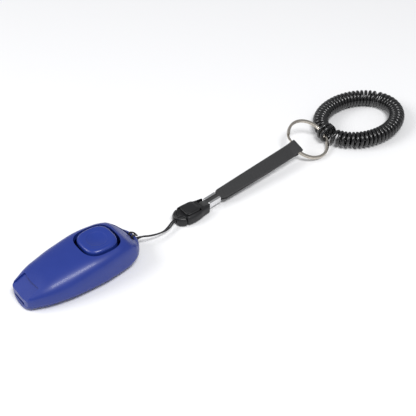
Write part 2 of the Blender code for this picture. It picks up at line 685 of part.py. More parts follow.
def build_ring():
    """The two-turn ring: its turns lie on each other, so its section is waisted in the middle."""
    radial, axial = RING_WIRE
    profile = ((radial, 0.18), (radial, axial - 0.3), (radial - 0.3, axial), (-radial + 0.3, axial),
               (-radial, axial - 0.3), (-radial, 0.18), (-radial + 0.25, 0.0), (-radial, -0.18),
               (-radial, -axial + 0.3), (-radial + 0.3, -axial), (radial - 0.3, -axial),
               (radial, -axial + 0.3), (radial, -0.18), (radial - 0.25, 0.0))
    turned_ring("split_ring", RING_RADIUS, profile, STEEL)


def thread_point():
    """Where the coil hangs on the ring's wire, and the wire's direction there."""
    low, across, _ = ring_axes()
    angle = math.radians(COIL_THREAD_ANGLE)
    outward = across * math.cos(angle) + low * math.sin(angle)
    tangent = low * math.cos(angle) - across * math.sin(angle)
    return RING_CENTRE + outward * RING_RADIUS, tangent


def build_coil():
    """The outer form of the coiled tube, closed on itself and hollowed where the ring passes through."""
    at, tangent = thread_point()
    start = math.atan2(at.y - COIL_CENTRE.y, at.x - COIL_CENTRE.x)
    rings = []
    for k in range(80):
        angle = 2 * math.pi * (k + 0.3) / 80
        away = abs((angle - start + math.pi) % (2 * math.pi) - math.pi) * COIL_RADII[0]
        drawn = COIL_BULGE / 2 * math.exp(-(away / 4.0) ** 2)
        middle = COIL_CENTRE + Vector(((COIL_RADII[0] + drawn) * math.cos(angle),
                                       (COIL_RADII[1] + drawn) * math.sin(angle), drawn))
        outward = Vector((COIL_RADII[1] * math.cos(angle), COIL_RADII[0] * math.sin(angle), 0.0)).normalized()
        rings.append([middle + (outward * math.cos(turn) + Vector((0, 0, 1)) * math.sin(turn))
                      * (COIL_TUBE + drawn) for turn in (2 * math.pi * (i + 0.5) / 16 for i in range(16))])
    coil = loft("wrist_coil", rings, COIL_BLACK, closed=True)
    for i, swing in enumerate((-30.0, 0.0, 30.0)):
        wide = 2.1 + 0.03 * i
        clear = [(wide * math.cos(2 * math.pi * k / 11), wide * math.sin(2 * math.pi * k / 11)) for k in range(11)]
        room = turned_ring("ring_way_%d" % (i + 1), RING_RADIUS, clear, steps=46 + i)
        turn = Matrix.Rotation(math.radians(swing), 4, tangent)
        shift = Matrix.Translation(at * MM)
        room.data.transform(shift @ turn @ shift.inverted())
        boolean(coil, room)


build_case()
build_button()
build_blade()
build_whistle()
for number, (spot_x, spot_y) in enumerate(SCREW_SPOTS):
    screw("case_screw_%d" % (number + 1), (spot_x, spot_y), 0.35, 9.4)
build_cord()
build_clip()
build_strap()
build_crimp()
build_ring()
build_coil()
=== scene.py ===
# %% [markdown]
# # A clicker with a whistle, on a wrist lanyard
# The real thing is a blue moulded case with a thumb button and a whistle mouth.  A thin cord is hitched
# to its tail and runs to a black release clip, a folded webbing strap, a split ring and a coiled wrist
# loop.  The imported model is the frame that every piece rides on.  This script gives the pieces their
# looks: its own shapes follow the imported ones, and are finer where those are plain.

# %% Load the frame
import bpy
import bmesh
import json
import math
from mathutils import Matrix, Vector


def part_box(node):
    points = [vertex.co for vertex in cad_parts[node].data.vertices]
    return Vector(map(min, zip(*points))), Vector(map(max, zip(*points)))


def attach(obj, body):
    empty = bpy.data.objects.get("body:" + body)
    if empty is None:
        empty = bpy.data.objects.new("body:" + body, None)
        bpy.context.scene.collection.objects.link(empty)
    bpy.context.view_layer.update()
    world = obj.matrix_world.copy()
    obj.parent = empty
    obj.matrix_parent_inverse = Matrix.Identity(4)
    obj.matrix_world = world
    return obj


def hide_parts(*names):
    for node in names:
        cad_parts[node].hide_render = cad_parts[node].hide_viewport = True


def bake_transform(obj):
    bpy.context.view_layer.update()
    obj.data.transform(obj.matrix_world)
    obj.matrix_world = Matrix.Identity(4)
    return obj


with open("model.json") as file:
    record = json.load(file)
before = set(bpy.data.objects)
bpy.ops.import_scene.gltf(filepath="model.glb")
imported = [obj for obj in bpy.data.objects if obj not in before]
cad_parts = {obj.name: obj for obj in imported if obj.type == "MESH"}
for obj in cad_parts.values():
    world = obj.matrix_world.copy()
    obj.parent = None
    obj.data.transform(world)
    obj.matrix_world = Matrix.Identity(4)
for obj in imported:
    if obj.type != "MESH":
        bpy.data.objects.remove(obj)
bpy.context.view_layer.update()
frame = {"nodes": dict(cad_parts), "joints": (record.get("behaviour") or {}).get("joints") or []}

MM = 0.001
JOINTS = {joint["name"]: joint for joint in frame["joints"]}

# %% [markdown]
# The camera looks down at the case from beyond its whistle, on the near side.  It stands a little over
# half a metre off with a long lens, so the far coil is only slightly smaller than it would be beside
# the case.

# %% Camera
CAMERA_PLACE = (-0.17041, -0.33962, 0.37128)
CAMERA_LOOK = Vector((0.4595, 0.6010, -0.6539))
FILM_WIDTH = 36.0
LENS_TO_WIDTH = 950.0 / 416.0

camera_data = bpy.data.cameras.new("camera")
camera_data.sensor_width = FILM_WIDTH
camera_data.lens = FILM_WIDTH * LENS_TO_WIDTH
camera_data.clip_start = 0.01
camera = bpy.data.objects.new("camera", camera_data)
camera.location = CAMERA_PLACE
camera.rotation_euler = CAMERA_LOOK.to_track_quat('-Z', 'Y').to_euler()
bpy.context.scene.collection.objects.link(camera)
bpy.context.scene.camera = camera
print("lens %.1f mm" % camera_data.lens)

# %% [markdown]
# ## Shader maths as plain expressions
# A material is a small program.  Wrapping each socket in a class with operators lets a pattern be
# written as arithmetic, so that `yarn = (along * 40).wave()` adds its own Math nodes.

# %% Socket arithmetic
class Value:
    """One output socket of a material, which adds, subtracts, multiplies and divides like a number."""

    def __init__(self, look, socket):
        self.look, self.socket = look, socket

    def math(self, operation, *others):
        values = dict(enumerate((self,) + others))
        return self.look.node("ShaderNodeMath", {"operation": operation}, values)

    def __add__(self, other):
        return self.math('ADD', other)

    def __sub__(self, other):
        return self.math('SUBTRACT', other)

    def __mul__(self, other):
        return self.math('MULTIPLY', other)

    def __truediv__(self, other):
        return self.math('DIVIDE', other)

    def __neg__(self):
        return self.math('MULTIPLY', -1.0)

    def __rsub__(self, other):
        return -self + other

    __radd__, __rmul__ = __add__, __mul__

    def wave(self):
        """A sine with one period for each unit, from 0 to 1."""
        return (self * (2 * math.pi)).math('SINE') * 0.5 + 0.5

    def step(self, low, high):
        """0 below low, 1 above high, smooth between."""
        values = {0: self, 1: low, 2: high}
        return self.look.node("ShaderNodeMapRange", {"interpolation_type": 'SMOOTHSTEP'}, values)


class Look:
    """A material with a Principled shader, built from expressions."""

    def __init__(self, name, slot=None):
        self.material = bpy.data.materials.new(name)
        self.material.use_nodes = True
        self.tree = self.material.node_tree
        self.shader = self.tree.nodes["Principled BSDF"]
        self.slot = slot or name

    def node(self, kind, settings=None, values=None, output=0):
        node = self.tree.nodes.new(kind)
        for name, setting in (settings or {}).items():
            setattr(node, name, setting)
        for name, value in (values or {}).items():
            self.feed(node.inputs[name], value)
        return Value(self, node.outputs[output])

    def feed(self, socket, value):
        if isinstance(value, Value):
            self.tree.links.new(value.socket, socket)
        elif hasattr(value, "__len__") and len(value) == 3 and socket.type == 'RGBA':
            socket.default_value = (*value, 1.0)
        else:
            socket.default_value = value

    def place(self):
        """A point of the piece, in millimetres."""
        spot = self.node("ShaderNodeTexCoord", output="Object")
        return self.node("ShaderNodeMapping", values={"Vector": spot, "Scale": (1.0 / MM,) * 3})

    def uv(self):
        """The piece's own map: the way along it and the way round it."""
        spot = self.node("ShaderNodeUVMap", {"uv_map": "UVMap"})
        parts = self.node("ShaderNodeSeparateXYZ", values={"Vector": spot})
        return parts, Value(self, parts.socket.node.outputs[1])

    def noise(self, size, detail=2.0):
        """Soft noise from 0 to 1, with blotches of a size in millimetres."""
        values = {"Vector": self.place(), "Scale": 1.0 / size, "Detail": detail}
        return self.node("ShaderNodeTexNoise", values=values)

    def blend(self, factor, first, second):
        values = {0: factor, 6: first, 7: second}
        return self.node("ShaderNodeMix", {"data_type": 'RGBA'}, values, output=2)

    def bump(self, height, depth):
        """A surface normal from a height of 0 to 1 that is so many millimetres deep."""
        values = {"Height": height, "Distance": depth * MM, "Strength": 1.0}
        return self.node("ShaderNodeBump", values=values)

    def set(self, **values):
        for name, value in values.items():
            self.feed(self.shader.inputs[name.replace("_", " ").title().replace("Ior", "IOR")], value)
        return self


print("shader helpers ready")

# %% [markdown]
# ## Blue ABS
# The case is injection-moulded ABS in a deep blue, polished but not mirror-bright.  Real mouldings are
# never one flat colour: the pigment drifts slightly, a fine grain breaks the gloss, and handling leaves
# hairlines.

# %% Blue plastics
def scratches(look, length=14.0, width=0.22):
    """Hairlines: noise stretched along a slanting way, so only its thin crests show."""
    spot = look.node("ShaderNodeTexCoord", output="Object")
    stretch = (1 / length / MM, 1 / width / MM, 1 / length / MM)
    values = {"Vector": spot, "Rotation": (0.3, 0.2, 0.7), "Scale": stretch}
    drawn = look.node("ShaderNodeMapping", values=values)
    crests = look.node("ShaderNodeTexNoise", values={"Vector": drawn, "Scale": 1.0, "Detail": 3.0})
    return crests.step(0.66, 0.74)


def moulded(name, colour, paler, dull, grain, coat):
    """Moulded plastic: drifting pigment, fine grain and faint hairlines."""
    look = Look(name)
    drift = look.noise(9.0, 3.0)
    fine = look.noise(0.16, 2.0)
    lines = scratches(look)
    look.set(base_color=look.blend(drift * 0.55 + lines * 0.10, colour, paler))
    look.set(roughness=drift * 0.06 + fine * 0.05 + lines * 0.05 + dull)
    look.set(normal=look.bump(fine * 0.8 - lines * 0.2, grain), coat_weight=coat, coat_roughness=0.12)
    look.set(specular_ior_level=0.40)
    return look


BLUE = moulded("blue_abs", (0.013, 0.032, 0.225), (0.019, 0.044, 0.280), dull=0.34, grain=0.006, coat=0.10)
BUTTON_BLUE = moulded("button_blue", (0.013, 0.035, 0.245), (0.019, 0.047, 0.300),
                      dull=0.27, grain=0.004, coat=0.15)
print(BLUE.material.name, BUTTON_BLUE.material.name)

# %% [markdown]
# ## Black plastics
# The clip is moulded acetal, a waxy grey-black with a fine spark-eroded texture.  The wrist coil is
# extruded polyurethane: almost black and wet-looking, so that each turn carries its own small bright
# window.

# %% Black plastics
ACETAL = moulded("black_acetal", (0.010, 0.010, 0.011), (0.018, 0.018, 0.020),
                 dull=0.34, grain=0.012, coat=0.0)


def extruded(name):
    """Glossy extruded cord: a faintly uneven surface under a clear wet skin."""
    look = Look(name)
    drift = look.noise(5.0, 2.0)
    dull = look.noise(0.7, 3.0)
    look.set(base_color=look.blend(drift, (0.0045, 0.0045, 0.0050), (0.010, 0.010, 0.011)))
    look.set(roughness=dull * 0.10 + drift * 0.04 + 0.15, normal=look.bump(dull, 0.012))
    look.set(coat_weight=0.4, coat_roughness=0.06)
    return look


COIL_BLACK = extruded("coil_black")
WHITE = moulded("whistle_white", (0.62, 0.62, 0.60), (0.74, 0.74, 0.72), dull=0.40, grain=0.006, coat=0.0)
print(ACETAL.material.name, COIL_BLACK.material.name, WHITE.material.name)

# %% [markdown]
# ## Textiles
# The thin cord is a round braid, and the strap is a close plain weave.  Both patterns follow the piece
# rather than space, so they read the piece's own map: the first number runs along it in millimetres,
# the second across or round it.

# %% Textiles
def braid(name, strands=6, lay=1.1):
    """Two families of yarns wind opposite ways round the cord and pass over each other in turn."""
    look = Look(name)
    along, around = look.uv()
    left = (along / lay + around * strands).wave()
    right = (along / lay - around * strands).wave()
    over = (left - right).step(-0.25, 0.25)
    crown = over * left + (1 - over) * right
    fuzz = look.noise(0.12, 3.0)
    # Painted shading: the colour is darker where the yarns dip under each other and lighter on their
    # crowns, with random fuzz mixed in.
    look.set(base_color=look.blend(crown * 0.7 + fuzz * 0.3, (0.004, 0.004, 0.005), (0.022, 0.022, 0.024)))
    look.set(roughness=crown * -0.16 + fuzz * 0.1 + 0.66, normal=look.bump(crown + fuzz * 0.3, 0.10))
    look.set(sheen_weight=0.15, sheen_roughness=0.4)
    return look


def woven(name, width, warp=0.52, weft=0.62):
    """Plain-woven webbing: lengthwise yarns that dip under a weft, with a firm cord along each edge."""
    look = Look(name)
    along, across = look.uv()
    column = across / warp
    row = along / weft
    odd = column.math('FLOOR').math('MODULO', 2.0)
    yarn = (column * math.pi).math('SINE').math('ABSOLUTE')
    dip = ((row + odd) * math.pi).math('SINE') * 0.5 + 0.5
    fuzz = look.noise(0.10, 3.0)
    drift = look.noise(7.0, 2.0)
    edge = (across - width / 2).math('ABSOLUTE').step(width / 2 - 0.9, width / 2 - 0.5)
    height = yarn * (dip * 0.7 + 0.3) * (1 - edge * 0.4) + edge * 0.5
    # The colour mixes random tone with painted shading: darker where the yarns dip, lighter on their raised
    # tops and on the edge cords.
    tone_and_painted_shade = height * 0.55 + fuzz * 0.25 + drift * 0.25
    look.set(base_color=look.blend(tone_and_painted_shade, (0.0050, 0.0050, 0.0055), (0.034, 0.034, 0.036)))
    look.set(roughness=height * -0.12 + fuzz * 0.10 + 0.72, normal=look.bump(height + fuzz * 0.25, 0.09))
    look.set(sheen_weight=0.20, sheen_roughness=0.5)
    return look


STRAP_WIDTH = 8.7
CORD_BLACK = braid("cord_black")
WEB_BLACK = woven("webbing_black", STRAP_WIDTH)
print(CORD_BLACK.material.name, WEB_BLACK.material.name)

# %% [markdown]
# ## Metals
# The split ring is nickel-plated spring wire, slightly warm in colour.  The crimp is bright plated
# strip and the click blade is rolled spring steel.  Their colour hardly varies, and their roughness
# carries the wear.

# %% Metals
def plated(name, colour, warmer, dull, marks, slot=None):
    """Plated or rolled metal: a steady colour, with the wear in its roughness."""
    look = Look(name, slot)
    drift = look.noise(3.0, 2.0)
    fine = look.noise(0.25, 4.0)
    lines = scratches(look, 6.0, 0.12)
    look.set(base_color=look.blend(drift, colour, warmer), metallic=1.0)
    look.set(roughness=drift * 0.05 + fine * marks + lines * 0.10 + dull)
    look.set(normal=look.bump(fine * 0.7 + lines * 0.5, 0.004))
    return look


NICKEL = plated("nickel_steel", (0.60, 0.57, 0.52), (0.70, 0.64, 0.56), dull=0.10, marks=0.06)
CRIMP_STEEL = plated("crimp_steel", (0.72, 0.72, 0.74), (0.80, 0.80, 0.80), dull=0.14, marks=0.08)
SPRING_STEEL = plated("spring_steel", (0.42, 0.43, 0.46), (0.50, 0.49, 0.47), dull=0.24, marks=0.12)
SCREW_STEEL = plated("screw_steel", (0.46, 0.46, 0.46), (0.55, 0.54, 0.52), dull=0.22, marks=0.10,
                     slot="nickel_steel")
print("metals ready")

# %% [markdown]
# ## Making meshes
# Most pieces here are skins over a list of rings, the way a lofted hull is planked over its frames.
# The skin writes a map as it goes: the distance along the rings, and the distance or share round each
# of them.

# %% Mesh helpers
def publish(name, bm, look, body, smooth_angle=32.0):
    """Finish a bmesh as a piece: outward faces, smooth but for its real edges, riding on its body."""
    bmesh.ops.recalc_face_normals(bm, faces=bm.faces)
    mesh = bpy.data.meshes.new(name)
    bm.to_mesh(mesh)
    bm.free()
    piece = bpy.data.objects.new(name, mesh)
    bpy.context.scene.collection.objects.link(piece)
    if look:
        mesh.materials.append(look.material)
    mesh.shade_smooth()
    mesh.set_sharp_from_angle(angle=math.radians(smooth_angle))
    if body:
        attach(piece, body)
    return piece


def skin(rings, closed=False, around=None):
    """Plank a list of point rings (in millimetres).  closed joins the last ring to the first."""
    bm = bmesh.new()
    uv = bm.loops.layers.uv.new("UVMap")
    rows = [[bm.verts.new(Vector(p) * MM) for p in ring] for ring in rings]
    count = len(rows[0])
    around = around or [k / count for k in range(count + 1)]
    travelled = [0.0]
    for a, b in zip(rings, rings[1:] + rings[:1]):
        travelled.append(travelled[-1] + (Vector(b[0]) - Vector(a[0])).length)
    for k in range(len(rows) if closed else len(rows) - 1):
        a, b = rows[k], rows[(k + 1) % len(rows)]
        for i in range(count):
            j = (i + 1) % count
            face = bm.faces.new((a[i], a[j], b[j], b[i]))
            spots = ((k, i), (k, i + 1), (k + 1, i + 1), (k + 1, i))
            for loop, (row, column) in zip(face.loops, spots):
                loop[uv].uv = (travelled[row], around[column])
    if not closed:
        bm.faces.new(rows[0])
        bm.faces.new(rows[-1])
    return bm


def box(low, high):
    """A closed box between two corners, in millimetres."""
    bm = bmesh.new()
    size = [(b - a) * MM for a, b in zip(low, high)]
    middle = [(a + b) / 2 * MM for a, b in zip(low, high)]
    bmesh.ops.create_cube(bm, size=1.0, matrix=Matrix.Translation(middle) @ Matrix.Diagonal((*size, 1.0)))
    return bm


def cylinder(radius, start, end, sides=40):
    start, end = Vector(start) * MM, Vector(end) * MM
    turn = (end - start).to_track_quat('Z', 'Y').to_matrix().to_4x4() @ Matrix.Rotation(0.07, 4, 'Z')
    bm = bmesh.new()
    bmesh.ops.create_cone(bm, cap_ends=True, segments=sides, radius1=radius * MM, radius2=radius * MM,
                          depth=(end - start).length, matrix=Matrix.Translation((start + end) / 2) @ turn)
    return bm


def prism(outline, low, high):
    """A flat outline raised from one height to another."""
    return skin([[(x, y, z) for x, y in outline] for z in (low, high)])


def rounded_square(half, exponent, count=72, centre=(0.0, 0.0)):
    """A circle at exponent 2, squarer above it."""
    def reach(value):
        return math.copysign(abs(value) ** (2 / exponent), value)
    turns = [2 * math.pi * (i + 0.5) / count for i in range(count)]
    return [(centre[0] + half * reach(math.cos(a)), centre[1] + half * reach(math.sin(a))) for a in turns]


def carve(piece, steps):
    """Cut or join solids one after another, and leave the result as a plain mesh."""
    tools = []
    for operation, bm in steps:
        tool = publish("tool", bm, None, None)
        tools.append(tool)
        modifier = piece.modifiers.new(operation, 'BOOLEAN')
        modifier.operation, modifier.solver, modifier.object = operation, 'EXACT', tool
    bpy.context.view_layer.update()
    graph = bpy.context.evaluated_depsgraph_get()
    mesh = bpy.data.meshes.new_from_object(piece.evaluated_get(graph))
    piece.modifiers.clear()
    piece.data = mesh
    for tool in tools:
        bpy.data.objects.remove(tool, do_unlink=True)
    mesh.shade_smooth()
    mesh.set_sharp_from_angle(angle=math.radians(30))
    return piece


def smooth_value(stations, x, column):
    """Read a station table through a smooth curve that doesn't overshoot."""
    xs = [row[0] for row in stations]
    ys = [row[column] for row in stations]
    if x <= xs[0]:
        return ys[0]
    if x >= xs[-1]:
        return ys[-1]
    slopes = [(b - a) / (d - c) for a, b, c, d in zip(ys, ys[1:], xs, xs[1:])]
    tangents = [slopes[0]]
    for before, after in zip(slopes, slopes[1:]):
        tangents.append(0.0 if before * after <= 0 else 2 * before * after / (before + after))
    tangents.append(slopes[-1])
    i = max(k for k in range(len(xs) - 1) if xs[k] <= x)
    width = xs[i + 1] - xs[i]
    t = (x - xs[i]) / width
    return (ys[i] * (1 + 2 * t) * (1 - t) ** 2 + tangents[i] * width * t * (1 - t) ** 2
            + ys[i + 1] * t * t * (3 - 2 * t) + tangents[i + 1] * width * t * t * (t - 1))


def smooth_route(points, steps):
    """A Catmull-Rom curve through given points."""
    points = [Vector(p) for p in points]
    ends = [2 * points[0] - points[1]] + points + [2 * points[-1] - points[-2]]
    route = []
    for a, b, c, d in zip(ends, ends[1:], ends[2:], ends[3:]):
        for k in range(steps):
            t = k / steps
            route.append(0.5 * (2 * b + (c - a) * t + (2 * a - 5 * b + 4 * c - d) * t * t
                                + (3 * b - a - 3 * c + d) * t ** 3))
    return route + [points[-1]]


def line_length(route):
    return sum((b - a).length for a, b in zip(route, route[1:]))


print("mesh helpers ready")

# %% [markdown]
# ## The thin cord
# One loop of braided cord is pulled through the slot in the case's tail and back through itself, and
# both of its ends go into the clip, where a knot holds them.  It is a single tube on one smooth route.

# %% Cord route
CORD_RADIUS = 0.5
HITCH_HALF = ((38.6, -0.55, 5.6), (38.2, -0.85, 4.3), (37.1, -1.1, 2.9), (35.4, -1.25, 2.4),
              (33.95, -1.3, 3.6), (33.85, -1.35, 6.4), (33.95, -1.4, 9.4), (34.8, -1.45, 10.95),
              (36.1, -1.4, 10.55), (37.4, -1.15, 9.6), (38.2, -0.6, 8.5))
STRAND_ROUTE = ((38.6, 0.0, 5.6), (41.8, -0.7, 5.7), (46.0, -1.9, 4.8), (51.0, -2.5, 3.9),
                (56.0, -2.1, 3.1), (60.5, -0.7, 2.9), (64.0, 1.0, 3.1), (67.4, 1.9, 3.2))
# Half the distance between the strands at each of those points, across and upright.
STRAND_APART = ((0.55, 0.0), (0.42, 0.34), (0.38, 0.40), (0.38, 0.40),
                (0.46, 0.34), (0.72, 0.10), (0.66, 0.0), (0.62, 0.0))

strand_near = [(x, y - a, z + u) for (x, y, z), (a, u) in zip(STRAND_ROUTE, STRAND_APART)]
strand_far = [(x, y + a, z - u) for (x, y, z), (a, u) in zip(STRAND_ROUTE, STRAND_APART)]
hitch_back = [(x, -y, z) for x, y, z in reversed(HITCH_HALF)]
cord_points = strand_near[::-1] + list(HITCH_HALF[1:]) + hitch_back[:-1] + strand_far
cord_route = smooth_route(cord_points, 6)
print("cord is %.1f mm long" % line_length(cord_route))

# %% Cord tube
def tube_rings(route, radius, sides):
    """Rings across a route, carried along it without twist."""
    rings = []
    side = Vector((0.0, 0.3, 1.0))
    for i, point in enumerate(route):
        way = (route[min(i + 1, len(route) - 1)] - route[max(i - 1, 0)]).normalized()
        side = (side - way * side.dot(way)).normalized()
        other = way.cross(side)
        turns = [2 * math.pi * k / sides for k in range(sides)]
        rings.append([point + (side * math.cos(a) + other * math.sin(a)) * radius for a in turns])
    return rings


cord = publish("thin_cord", skin(tube_rings(cord_route, CORD_RADIUS, 14)), CORD_BLACK, None)
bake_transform(cord)
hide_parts("cord_hitch", "cord_strand_near", "cord_strand_far")
cord_route[0] * MM
[p * MM for p in cord_route]

# %% [markdown]
# ## The wrist coil
# The wrist loop is a long polyurethane cord wound into a spring, whose ends are joined to make an oval.
# Where the split ring hangs in it, the turns are drawn out and spread, so that the ring passes between
# them.  The winding follows a rule: a point runs round the oval while it circles the oval's line, so a
# loop works out the route, and Geometry Nodes sweep the round wire along it.

# %% Winding route
thread = Vector(JOINTS["bracelet_swing"]["pos_m"]) / MM
COIL_TUBE = 5.3
COIL_BULGE = 1.3                # how far the ring draws its turns out
BULGE_REACH = 4.1               # how far along the coil that fades
COIL_RADII = (27.9, 21.4)
COIL_CENTRE = Vector((221.1, 8.3, 5.4))
WIRE_RADIUS = 1.15
TURNS = 55
POINTS_PER_TURN = 16
OVAL_STEPS = 2400
COIL_JOIN = 222.0               # compass way, from the oval's middle, of the joint between its two ends
OPEN_SHARE = 0.45               # how far round from the joint the turns stand open
OPEN_SPREAD, OPEN_WIDTH = 0.5, 1.8      # extra pitch there, and over what length
RING_SPREAD, RING_WIDTH = 2.07, 2.0     # extra pitch on each side of the ring, and over what length
RING_GAP = 4.45                 # from the ring to where they stand widest
THREAD_PHASE = 0.79             # share of a turn at which the wire starts; keeps the ring clear of it
TUCK_SHARE, TUCK_POINTS = 0.35, 8       # how far the two ends draw in at the joint


def oval(angle):
    """A point of the coil's middle line, the way out there, and how far it is drawn out."""
    start = math.atan2(thread.y - COIL_CENTRE.y, thread.x - COIL_CENTRE.x)
    away = abs((angle - start + math.pi) % (2 * math.pi) - math.pi) * COIL_RADII[0]
    drawn = COIL_BULGE * math.exp(-(away / BULGE_REACH) ** 2)
    middle = COIL_CENTRE + Vector(((COIL_RADII[0] + drawn) * math.cos(angle),
                                   (COIL_RADII[1] + drawn) * math.sin(angle), drawn))
    outward = Vector((COIL_RADII[1] * math.cos(angle), COIL_RADII[0] * math.sin(angle), 0.0)).normalized()
    return middle, outward, drawn


def spread_at(distance, centre, width):
    return math.exp(-((distance - centre) / width) ** 2)


def winding():
    """The wire's route: one full way round the oval, with wider pitch at the ring and at the open spot."""
    steps, points = OVAL_STEPS, TURNS * POINTS_PER_TURN
    start = math.radians(COIL_JOIN)
    spots = [oval(start + 2 * math.pi * k / steps) for k in range(steps + 1)]
    along = [0.0]
    for (a, _, _), (b, _, _) in zip(spots, spots[1:]):
        along.append(along[-1] + (b - a).length)
    thread_at = min(zip(along, spots), key=lambda pair: (pair[1][0] - thread).length)[0]
    open_at = along[-1] * OPEN_SHARE
    density = []
    for s in along:
        wide = sum(RING_SPREAD * spread_at(s, thread_at + side * RING_GAP, RING_WIDTH) for side in (-1, 1))
        density.append(1.0 / (1.0 + wide + OPEN_SPREAD * spread_at(s, open_at, OPEN_WIDTH)))
    phase = [0.0]
    for k in range(steps):
        phase.append(phase[-1] + (density[k] + density[k + 1]) / 2 * (along[k + 1] - along[k]))
    total = phase[-1]
    route = []
    k = 0
    for n in range(points + 1):
        wanted = total * n / points
        while k < steps - 1 and phase[k + 1] < wanted:
            k += 1
        share = (wanted - phase[k]) / (phase[k + 1] - phase[k])
        middle, outward, drawn = oval(start + 2 * math.pi * (k + share) / steps)
        turn = 2 * math.pi * (n / POINTS_PER_TURN + THREAD_PHASE)
        tuck = 1.0 - TUCK_SHARE * max(0.0, 1 - min(n, points - n) / TUCK_POINTS) ** 2
        reach = (COIL_TUBE + drawn - WIRE_RADIUS) * tuck
        route.append(middle + (outward * math.cos(turn) + Vector((0, 0, 1)) * math.sin(turn)) * reach)
    return route


coil_route = winding()
print("coil wire is %.3f m long" % (line_length(coil_route) * MM))

# %% Wire tree
def wire_tree(look):
    """A Geometry Nodes tree that sweeps a round wire along the edges it is given."""
    tree = bpy.data.node_groups.new("wire_along_route", 'GeometryNodeTree')
    tree.is_modifier = True
    tree.interface.new_socket("Geometry", in_out='INPUT', socket_type='NodeSocketGeometry')
    radius = tree.interface.new_socket("Wire Radius", in_out='INPUT', socket_type='NodeSocketFloat')
    sides = tree.interface.new_socket("Sides", in_out='INPUT', socket_type='NodeSocketInt')
    tree.interface.new_socket("Geometry", in_out='OUTPUT', socket_type='NodeSocketGeometry')
    given = tree.nodes.new("NodeGroupInput")
    route = tree.nodes.new("GeometryNodeMeshToCurve")
    ring = tree.nodes.new("GeometryNodeCurvePrimitiveCircle")
    sweep = tree.nodes.new("GeometryNodeCurveToMesh")
    smooth = tree.nodes.new("GeometryNodeSetShadeSmooth")
    real = tree.nodes.new("GeometryNodeRealizeInstances")
    paint = tree.nodes.new("GeometryNodeSetMaterial")
    result = tree.nodes.new("NodeGroupOutput")
    paint.inputs["Material"].default_value = look.material
    sweep.inputs["Fill Caps"].default_value = True
    for start, end in ((given.outputs["Geometry"], route.inputs["Mesh"]),
                       (given.outputs["Wire Radius"], ring.inputs["Radius"]),
                       (given.outputs["Sides"], ring.inputs["Resolution"]),
                       (route.outputs["Curve"], sweep.inputs["Curve"]),
                       (ring.outputs["Curve"], sweep.inputs["Profile Curve"]),
                       (sweep.outputs["Mesh"], smooth.inputs["Geometry"]),
                       (smooth.outputs["Geometry"], real.inputs["Geometry"]),
                       (real.outputs["Geometry"], paint.inputs["Geometry"]),
                       (paint.outputs["Geometry"], result.inputs["Geometry"])):
        tree.links.new(start, end)
    return tree, radius.identifier, sides.identifier


def grown(name, bm, tree, inputs, look, body):
    """Run a tree on a mesh, keep what it makes as a plain mesh, and finish it as a piece."""
    seed = publish(name + "_seed", bm, look, None)
    modifier = seed.modifiers.new("grow", 'NODES')
    modifier.node_group = tree
    for identifier, value in inputs.items():
        modifier[identifier] = value
    bpy.context.view_layer.update()
    graph = bpy.context.evaluated_depsgraph_get()
    mesh = bpy.data.meshes.new_from_object(seed.evaluated_get(graph))
    bpy.data.objects.remove(seed, do_unlink=True)
    done = bmesh.new()
    done.from_mesh(mesh)
    bmesh.ops.remove_doubles(done, verts=done.verts, dist=1e-7)
    return publish(name, done, look, body, 50.0)


# %% Wrist coil
line = bmesh.new()
spots = [line.verts.new(p * MM) for p in coil_route]
for a, b in zip(spots, spots[1:]):
    line.edges.new((a, b))
tree, radius_input, sides_input = wire_tree(COIL_BLACK)
coil = grown("wrist_winding", line, tree, {radius_input: WIRE_RADIUS * MM, sides_input: 12},
             COIL_BLACK, "bracelet")
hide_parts("wrist_coil")
coil_route[0] * MM
[p * MM for p in coil_route]
print("coil has %d faces" % len(coil.data.polygons))

# %% [markdown]
# ## The case
# Two moulded shells meet on a level seam low on the sides.  The outside is one flowing form, so it is
# skinned from a table of cross-sections, each a rounded square that is squarer above than below.  The
# button's well, the cord's slot, the lip recess and the blow slot are then cut from it, as a mould's
# inserts would leave them.

# %% Case form
GAP = 0.3
PARTING_Z = 3.2
WIDEST_Z = 6.0
WALL = 1.8
MOUTH_X = -37.4
TAIL_X = 37.2
CASE_STATIONS = (
    (-37.4, 9.1, 10.2, -0.5),
    (-30.0, 12.0, 12.8, -0.5),
    (-22.0, 14.6, 15.6, -0.5),
    (-9.0, 16.7, 18.2, -0.5),
    (6.0, 17.1, 19.5, -0.5),
    (18.0, 15.9, 19.5, -0.5),
    (25.0, 14.6, 18.2, -0.5),
    (30.0, 12.9, 14.4, 3.4),
    (34.0, 9.0, 10.6, 3.4),
    (36.4, 4.8, 9.4, 3.4),
    (37.2, 1.6, 8.4, 4.2),
)
MOUTH_BOW, BOW_START, BOW_RUN = 0.014, -28.0, 8.5     # how far the mouth's ends sweep back, and from where
TOP_POWERS = ((-37.4, 3.5), (-28.5, 3.0), (-18.0, 2.65), (-6.0, 3.0), (5.0, 3.7), (14.0, 4.1), (37.2, 4.1))
BOTTOM_POWER = 2.7
SECTION_POINTS = 96


def case_section(x, inset=0.0, shift=0.0):
    """One cross-section of the case, drawn in by an inset on every side."""
    half = smooth_value(CASE_STATIONS, x, 1) - inset
    top = smooth_value(CASE_STATIONS, x, 2) - inset
    bottom = smooth_value(CASE_STATIONS, x, 3) + inset
    ring = []
    for i in range(SECTION_POINTS):
        angle = 2 * math.pi * i / SECTION_POINTS
        upper = math.sin(angle) >= 0
        exponent = 2 / (smooth_value(TOP_POWERS, x, 1) if upper else BOTTOM_POWER)
        y = half * math.copysign(abs(math.cos(angle)) ** exponent, math.cos(angle))
        reach = (top - WIDEST_Z) if upper else (WIDEST_Z - bottom)
        z = WIDEST_Z + reach * math.copysign(abs(math.sin(angle)) ** exponent, math.sin(angle))
        front = max(0.0, (BOW_START - x) / BOW_RUN)
        ring.append((x + shift + MOUTH_BOW * y * y * front, y, z))
    return ring


